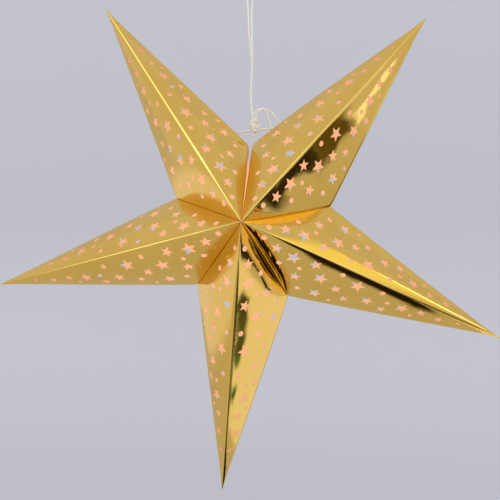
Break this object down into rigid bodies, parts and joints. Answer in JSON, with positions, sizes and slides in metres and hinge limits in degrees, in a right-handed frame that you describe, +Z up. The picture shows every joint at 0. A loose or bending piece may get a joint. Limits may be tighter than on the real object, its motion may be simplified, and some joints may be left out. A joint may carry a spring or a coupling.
{
  "type": "paper star lantern",
  "caption": "Folded foil-card star lantern with punched star and dot cutouts, tied shut with string along its open seam and hung from a doubled cord.",
  "frame": {"origin": "where a hook bears, in the top of the hanging loop", "axes": "+Z up, the lantern's front towards -Y, +X to the right seen from the front"},
  "size_m": [0.5953, 0.1636, 0.6141],
  "materials": {
    "gold_card": "satin",
    "string": "matte"
  },
  "bodies": {
    "root": {"star_point_top_right": "gold_card", "star_point_right": "gold_card", "star_point_bottom": "gold_card", "star_point_left": "gold_card", "star_point_top_left": "gold_card", "tie_cord_left": "string", "tie_cord_right": "string", "bow_loop": "string", "loose_end": "string", "hanging_cord": "string", "bow_knot": "string", "stopper_knot_left": "string", "stopper_knot_right": "string"}
  },
  "joints": []
}
